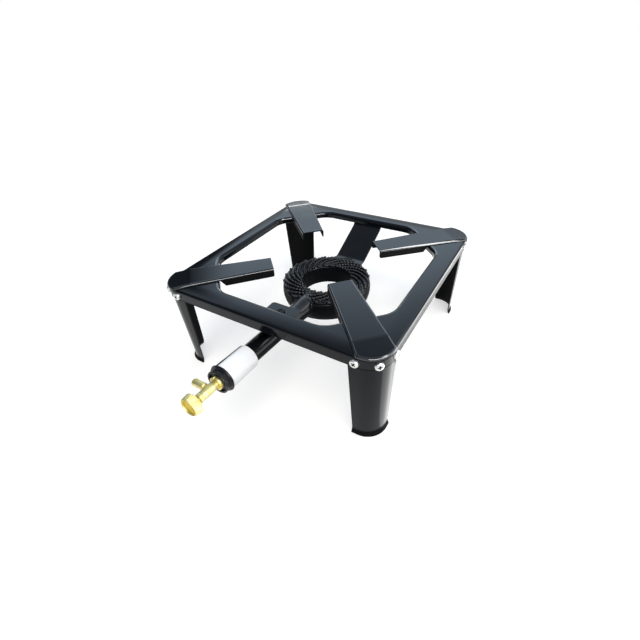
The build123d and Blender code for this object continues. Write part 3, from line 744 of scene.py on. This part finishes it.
def makeCrown(size):
    bm = bmesh.new()
    seat, bead, port = size["seat"], size["beadRadius"], size["portRadius"]
    posts = 2 * size["beads"] - 1           # a bead on every second post of the fin
    for post in range(posts):
        place = crestPoint(size, size["start"] + (size["end"] - size["start"]) * post / (posts - 1))
        upright(bm, place.x, place.y, seat, place.z - size["finDrop"], size["finFoot"], size["finRadius"],
                size["finSides"])
        if post % 2 == 0:
            ball = Matrix.Translation(place - Vector((0, 0, bead)))
            bmesh.ops.create_uvsphere(bm, u_segments=size["beadSides"], v_segments=size["beadRows"],
                                      radius=bead, matrix=ball)
    repeatRound(bm, size["ridges"])
    outer, inner, edge = size["outer"], size["inner"], size["edge"]
    roof = arc((outer, edge), ((outer + inner) / 2, size["roof"]), (inner, edge), size["roofSteps"])
    fullTurn(bm, roof + [(inner, seat), (outer, seat)], size["ringSteps"], True)
    bmesh.ops.recalc_face_normals(bm, faces=bm.faces)
    piece = addPiece(bm, "burnerCrown", "stove", "cast_iron", ["burner_crown"], sharp=allSmooth)
    remeshed(piece, size["voxel"], size["smooth"])

    bm = bmesh.new()
    halfWay = Matrix.Rotation(pi / size["ridges"], 3, "Z")      # ports lie in the grooves
    foot, top = seat - size["portPast"], size["ridgeTop"] + size["portPast"]
    for share in size["ports"]:
        place = halfWay @ crestPoint(size, share)
        upright(bm, place.x, place.y, foot, top, port, port, size["portSides"])
    repeatRound(bm, size["ridges"])
    cutAway(piece, bm)


makeCrown(crown)
print("crown made")


# Label, air shutter and valve on the tube's line

def addOnTube(bm, name, body, slot, node, **options):
    bmesh.ops.transform(bm, matrix=onTube, verts=bm.verts)
    return addPiece(bm, name, body, slot, [node], **options)


label = {
    "startRadius": 14.62, "endRadius": 15.1, "sheet": 0.25, "cutEdge": 0.05, "start": 170.0, "end": 208.6,
    "from": -195.0, "arc": 300.0, "steps": 75,
}


def makeLabel(size):
    bm = bmesh.new()
    edges = chain(bm, [(size["startRadius"], 0, size["start"]), (size["endRadius"], 0, size["end"])])
    turnAbout(bm, withVerts(edges), (0, 0, 0), (0, 0, 1), radians(size["arc"]), size["steps"])
    bmesh.ops.recalc_face_normals(bm, faces=bm.faces)
    bm.faces.ensure_lookup_table()
    faceOut(bm, bm.faces[0], (1, 0, 0))
    swing(bm, size["from"])
    piece = addOnTube(bm, "labelSleeve", "stove", "white_label", "label_sleeve")
    sheetMetal(piece, size["sheet"], size["cutEdge"])


makeLabel(label)

shutter = {
    "outline": [(4.55, 209.4), (8.3, 209.4), (11.1, 209.4), (16.0, 209.4), (15.0, 211.2), (13.4, 211.8),
                (12.8, 212.4), (12.9, 213.2), (13.4, 215.0), (13.4, 217.0), (11.4, 217.0), (11.4, 215.0),
                (11.1, 215.0), (8.3, 215.0), (4.55, 215.0)],
    "steps": 72, "back": 209.4, "dishFloor": 215.0, "softEdge": 0.45, "softAngle": 40, "softSteps": 3,
}


def windowOf(edge):                         # number of the window that an edge belongs to
    middle = (edge.verts[0].co + edge.verts[1].co) / 2
    return int(angleOf(middle) % 360 // windowShare)


def makeShutter(size):
    bm = bmesh.new()
    spun(bm, size["outline"], size["steps"], True)
    ends = windowFaces(bm, size["back"]) + windowFaces(bm, size["dishFloor"])
    bmesh.ops.delete(bm, geom=ends, context="FACES")
    holes = [e for e in bm.edges if e.is_boundary]
    for window in range(airWindow["count"]):
        bmesh.ops.bridge_loops(bm, edges=[e for e in holes if windowOf(e) == window])
    bmesh.ops.recalc_face_normals(bm, faces=bm.faces)
    soften(bm, size["softEdge"], size["softAngle"], size["softSteps"])
    addOnTube(bm, "airShutter", "shutter", "black_paint", "air_shutter")


makeShutter(shutter)

lockRing = {
    "bore": 4.55, "root": 5.9, "radius": 7.8, "start": 215.3, "floor": 217.4, "end": 219.5, "steps": 48,
    "notches": 4, "notchShare": 0.17, "softEdge": 0.15, "softAngle": 40,
}


def makeLockRing(size):
    bm = bmesh.new()
    floor = size["floor"]
    spun(bm, [(size["bore"], size["start"]), (size["radius"], size["start"]), (size["radius"], floor),
              (size["root"], floor), (size["bore"], floor)], size["steps"], True)
    teeth = []
    for face in bm.faces:
        middle = face.calc_center_median()
        turn = (degrees(atan2(middle.y, middle.x)) % 360) / (360 / size["notches"]) % 1
        solid = hypot(middle.x, middle.y) < size["root"] or turn > size["notchShare"]
        if abs(middle.z - floor) < near and solid:
            teeth.append(face)
    raised = bmesh.ops.extrude_face_region(bm, geom=teeth)["geom"]
    bmesh.ops.translate(bm, verts=vertsOf(raised), vec=(0, 0, size["end"] - floor))
    bmesh.ops.delete(bm, geom=teeth, context="FACES")
    tidy(bm)
    soften(bm, size["softEdge"], size["softAngle"])
    addOnTube(bm, "lockRing", "stove", "brass", "lock_ring")


makeLockRing(lockRing)

valve = {
    "body": {"outline": [(0, 199.1), (4.5, 199.1), (4.5, 219.5), (5.0, 219.5), (5.0, 239.1), (0, 239.1)],
             "steps": 48, "softEdge": 0.35},
    "spindle": {"outline": [(0, 233.8), (2.95, 233.8), (2.95, 236.1), (2.2, 236.1), (2.2, 252.0), (0, 252.0)],
                "steps": 32, "softEdge": 0.2},
    "gland": {"flats": 4.7, "sides": 6, "start": 239.15, "end": 243.1, "bore": 2.3, "softEdge": 0.4,
              "softAngle": 40},
    "spigot": {"outline": [(2.0, 3.2), (3.0, 3.2), (3.0, 6.3), (4.1, 6.7), (4.1, 20.6), (3.5, 21.5),
                           (2.0, 21.5)],
               "at": 228.0, "steps": 40, "softEdge": 0.25},
}


def makeTurned(size, name, body, node):
    bm = bmesh.new()
    spun(bm, size["outline"], size["steps"])
    soften(bm, size["softEdge"])
    addOnTube(bm, name, body, "brass", node)


def makeGland(size):
    bm = bmesh.new()
    corner = size["flats"] / cos(pi / size["sides"])
    spun(bm, [(size["bore"], size["start"]), (corner, size["start"]), (corner, size["end"]),
              (size["bore"], size["end"])], size["sides"], True)
    soften(bm, size["softEdge"], size["softAngle"])
    addOnTube(bm, "glandNut", "stove", "brass", "gland_nut")


def makeSpigot(size):
    bm = bmesh.new()
    spun(bm, size["outline"], size["steps"], True)
    soften(bm, size["softEdge"])
    sideways = Matrix.Translation((0, 0, size["at"])) @ Matrix.Rotation(-pi / 2, 4, "Y")
    bmesh.ops.transform(bm, matrix=onTube @ sideways, verts=bm.verts)
    addPiece(bm, "inletSpigot", "stove", "brass", ["inlet_spigot"])


makeTurned(valve["body"], "valveBody", "stove", "valve_body")
makeTurned(valve["spindle"], "valveSpindle", "hand_wheel", "valve_spindle")
makeGland(valve["gland"])
makeSpigot(valve["spigot"])

knob = {
    "outline": [(0, 247.1), (10.4, 247.1), (11.3, 248.0), (10.85, 251.0), (10.3, 255.1), (9.6, 256.1),
                (9.2, 256.1), (8.7, 254.6), (0, 254.6)],
    "dishRadius": 8.8, "dishFloor": 254.6, "flutes": 30, "fluteSteps": 4, "fluteCut": 2, "fluteDepth": 0.05,
    "fluteRadius": 10.0, "fluteStart": 247.9, "fluteEnd": 255.2, "softEdge": 0.2, "softAngle": 35,
}


def makeKnob(size):
    bm = bmesh.new()
    steps = size["fluteSteps"] * size["flutes"]
    spun(bm, size["outline"], steps)
    for vert in bm.verts:
        onRim = hypot(vert.co.x, vert.co.y) > size["fluteRadius"]
        count = round(degrees(atan2(vert.co.y, vert.co.x)) / (360 / steps))
        inFlute = count % size["fluteSteps"] < size["fluteCut"]
        if size["fluteStart"] < vert.co.z < size["fluteEnd"] and onRim and inFlute:
            vert.co.x *= 1 - size["fluteDepth"]
            vert.co.y *= 1 - size["fluteDepth"]
    # the dished face takes the darker copy of the brass: painted shade
    for face in bm.faces:
        middle = face.calc_center_median()
        dish = middle.z > size["dishFloor"] - near and hypot(middle.x, middle.y) < size["dishRadius"]
        face.material_index = 1 if dish else 0
    piece = addOnTube(bm, "knobWheel", "hand_wheel", "brass", "knob", coats=(shadedKnobBrass,))
    softEdges(piece, size["softEdge"], size["softAngle"])


makeKnob(knob)
print("label, shutter and valve made")


# Screws of the legs

screwSize = {
    "outline": [(0, 3.0), (3.3, 3.0), (4.1, 2.75), (4.6, 2.1), (4.75, 1.2), (4.75, 0.0), (2.5, 0.0),
                (2.5, -12.0), (0, -12.0)],
    "steps": 32, "recessHalf": 2.4, "recessArm": 0.75, "recessFloor": 1.4, "recessDepth": 2.0,
    "face": 150.0, "side": 120.5, "corner": 142.385, "height": 114.0, "turn": 37.0,
}


def screwPlaces(size):                      # two sides and the rounding of each corner, local +Z outwards
    places = []
    face, side, corner = size["face"], size["side"], size["corner"]
    for x, y in ((-1, -1), (1, -1), (1, 1), (-1, 1)):
        for place, out in (((x * face, y * side), (x, 0)), ((x * side, y * face), (0, y)),
                           ((x * corner, y * corner), (x, y))):
            aim = Vector((*out, 0)).to_track_quat("Z", "Y").to_matrix().to_4x4()
            turn = Matrix.Rotation(radians(size["turn"] * len(places)), 4, "Z")
            places.append(Matrix.Translation((*place, size["height"])) @ aim @ turn)
    return places


def putAt(bm, places):                      # a copy of everything at each place
    first = bm.verts[:] + bm.edges[:] + bm.faces[:]
    for place in places[1:]:
        copy = bmesh.ops.duplicate(bm, geom=first)["geom"]
        bmesh.ops.transform(bm, matrix=place, verts=vertsOf(copy))
    bmesh.ops.transform(bm, matrix=places[0], verts=vertsOf(first))


def makeScrews(size):
    bm = bmesh.new()
    spun(bm, size["outline"], size["steps"])
    putAt(bm, screwPlaces(size))
    piece = addPiece(bm, "legScrews", "stove", "zinc_steel", ["leg_screws"], coats=(paintedShadeCoat,))

    bm = bmesh.new()
    half, arm = size["recessHalf"], size["recessArm"]
    cross = [Matrix.Rotation(quarter * pi / 2, 2) @ Vector(point)
             for quarter in range(4) for point in ((half, -arm), (half, arm), (arm, arm))]
    edges = chain(bm, [(x, y, size["recessFloor"]) for x, y in cross], True)
    floor = bmesh.ops.contextual_create(bm, geom=edges)["faces"]
    pushed = bmesh.ops.extrude_face_region(bm, geom=floor)["geom"]
    bmesh.ops.translate(bm, verts=vertsOf(pushed), vec=(0, 0, size["recessDepth"]))
    bmesh.ops.recalc_face_normals(bm, faces=bm.faces)
    for face in bm.faces:
        face.material_index = 1             # painted shade in the recess
    putAt(bm, screwPlaces(size))
    cutAway(piece, bm)


makeScrews(screwSize)
print("leg screws made")


# Parts kept as they come from the frame

keptParts = {
    "leg_nuts": "zinc_steel", "burner_screws": "black_paint", "burner_nut": "black_paint",
    "injector": "brass", "stem_seal": "seal_rubber", "valve_needle": "brass",
}
for node, slot in keptParts.items():
    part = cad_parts[node]
    part.data.materials.clear()
    part.data.materials.append(finishes[slot])
print("nuts and inner parts finished")


# Floor, light and surroundings

studio = {
    "floorSize": 12.0, "floorColour": rgb(0.57, 0.56, 0.54), "floorGlow": 0.56,
    # sky seen in reflections, from the horizon up, with a bright band on one side and a dark patch on another
    "low": rgb(1.0, 1.0, 1.0), "dim": rgb(0.64, 0.70, 0.76), "high": rgb(0.40, 0.45, 0.51),
    "dimFade": (0.06, 0.10), "highFade": (0.45, 0.75),
    "band": rgb(1.65, 2.02, 2.40), "bandSide": (-0.5, 0.86, 0.0), "bandSideFade": (0.1, 0.5),
    "bandRise": (0.27, 0.50), "bandFall": (0.52, 0.86),
    "darkness": 0.95, "darkSide": (-0.95, -0.30, 0.0), "darkFade": (0.42, 0.54), "darkTop": (0.56, 0.72),
    # place, what it looks at, width and height, brightness, whether it lights matt faces too
    "panels": {
        "softBox": ((0.95, 0.25, 0.45), (0.0, 0.0, 0.1), (1.0, 0.6), 2.2, True),
        "lowBox": ((0.46, 0.275, 0.002), (0.46, 0.275, 1.0), (0.52, 0.57), 4.5, False),
        "legBox": ((0.20, -0.0775, 0.002), (0.20, -0.0775, 1.0), (0.14, 0.105), 1.3, False),
        "keyBox": ((0.89, -0.58, 0.68), (0.0, 0.0, 0.12), (1.2, 0.25), 14.0, False),
        "sideBox": ((0.70, 0.01, 0.915), (0.09, 0.06, 0.125), (0.2, 0.4), 14.0, False),
        "noseBox": ((-1.252, 1.674, 0.705), (-0.13, 0.13, 0.125), (0.24, 0.2), 7.0, False),
    },
    "sunStrength": 1.5, "sunAngle": 40.0, "sunFrom": (0.3, -0.45, 1.0), "sunColour": (1.0, 0.93, 0.84),
}


def raysIn(tree, *kinds):                   # 1 for rays of these kinds, 0 for others
    path = tree.nodes.new("ShaderNodeLightPath")
    first, *others = (Signal(tree, path.outputs[kind]) for kind in kinds)
    return sum(others, first)


def makeFloor(look):
    bm = bmesh.new()
    bmesh.ops.create_grid(bm, x_segments=1, y_segments=1, size=look["floorSize"] / 2)
    mesh = bpy.data.meshes.new("floor")
    bm.to_mesh(mesh)
    bm.free()
    floor = bpy.data.objects.new("floor", mesh)
    bpy.context.scene.collection.objects.link(floor)
    material = bpy.data.materials.new("paleFloor")
    material.use_nodes = True
    tree = material.node_tree
    tree.nodes.clear()
    seen = raysIn(tree, "Is Camera Ray", "Is Glossy Ray", "Is Transmission Ray")
    matt = seen.node("ShaderNodeBsdfDiffuse", None, {"Color": look["floorColour"]})
    glow = seen.node("ShaderNodeEmission", None, {"Strength": seen * look["floorGlow"]})
    both = seen.node("ShaderNodeAddShader", None, {0: matt, 1: glow})
    tree.links.new(both.socket, tree.nodes.new("ShaderNodeOutputMaterial").inputs["Surface"])
    mesh.materials.append(material)


def addLamp(name, data, place, aim):
    lamp = bpy.data.objects.new(name, data)
    lamp.location = place
    lamp.rotation_mode = "QUATERNION"
    lamp.rotation_quaternion = (Vector(aim) - Vector(place)).to_track_quat("-Z", "Y")
    lamp.visible_camera = False
    bpy.context.scene.collection.objects.link(lamp)
    return lamp


def addPanel(name, place, aim, size, brightness, lightsMatt):
    data = bpy.data.lights.new(name, "AREA")
    data.shape = "RECTANGLE"
    data.size, data.size_y = size
    data.energy = brightness * pi * size[0] * size[1]
    addLamp(name, data, place, aim).visible_diffuse = lightsMatt


def towards(way, side):                     # how far a direction looks to one side
    return way.node("ShaderNodeVectorMath", {"operation": "DOT_PRODUCT"}, {0: way, 1: side}, out="Value")


def makeWorld(look):
    world = bpy.data.worlds.new("studio")
    world.use_nodes = True
    tree = world.node_tree
    way = Signal(tree).node("ShaderNodeTexCoord", out="Generated")
    height = way.node("ShaderNodeSeparateXYZ", None, {0: way}, out="Z")
    raised = step(height, *look["dimFade"])
    seen = raysIn(tree, "Is Camera Ray", "Is Transmission Ray")
    dark = raised * step(towards(way, look["darkSide"]), *look["darkFade"])
    dark = dark * (1.0 - step(height, *look["darkTop"]))
    light = 1.0 - look["darkness"] * dark * (1.0 - seen)
    colour = mixColour(raised, look["low"], look["dim"])
    colour = mixColour(step(height, *look["highFade"]), colour, look["high"])
    band = step(height, *look["bandRise"]) * (1.0 - step(height, *look["bandFall"]))
    band = band * step(towards(way, look["bandSide"]), *look["bandSideFade"])
    colour = mixColour(band, colour, look["band"])
    colour = mixColour(seen, colour, look["low"])               # plain white behind the object
    background = tree.nodes["Background"]
    tree.links.new(colour.socket, background.inputs["Color"])
    tree.links.new(light.socket, background.inputs["Strength"])
    bpy.context.scene.world = world


def makeStudio(look):
    makeFloor(look)
    makeWorld(look)
    for name, panel in look["panels"].items():
        addPanel(name, *panel)
    sun = bpy.data.lights.new("softSun", "SUN")
    sun.energy = look["sunStrength"]
    sun.angle = radians(look["sunAngle"])
    sun.color = look["sunColour"]
    addLamp("softSun", sun, look["sunFrom"], (0, 0, 0)).visible_glossy = False


makeStudio(studio)
bpy.context.scene.view_settings.view_transform = "Standard"
print("studio made")
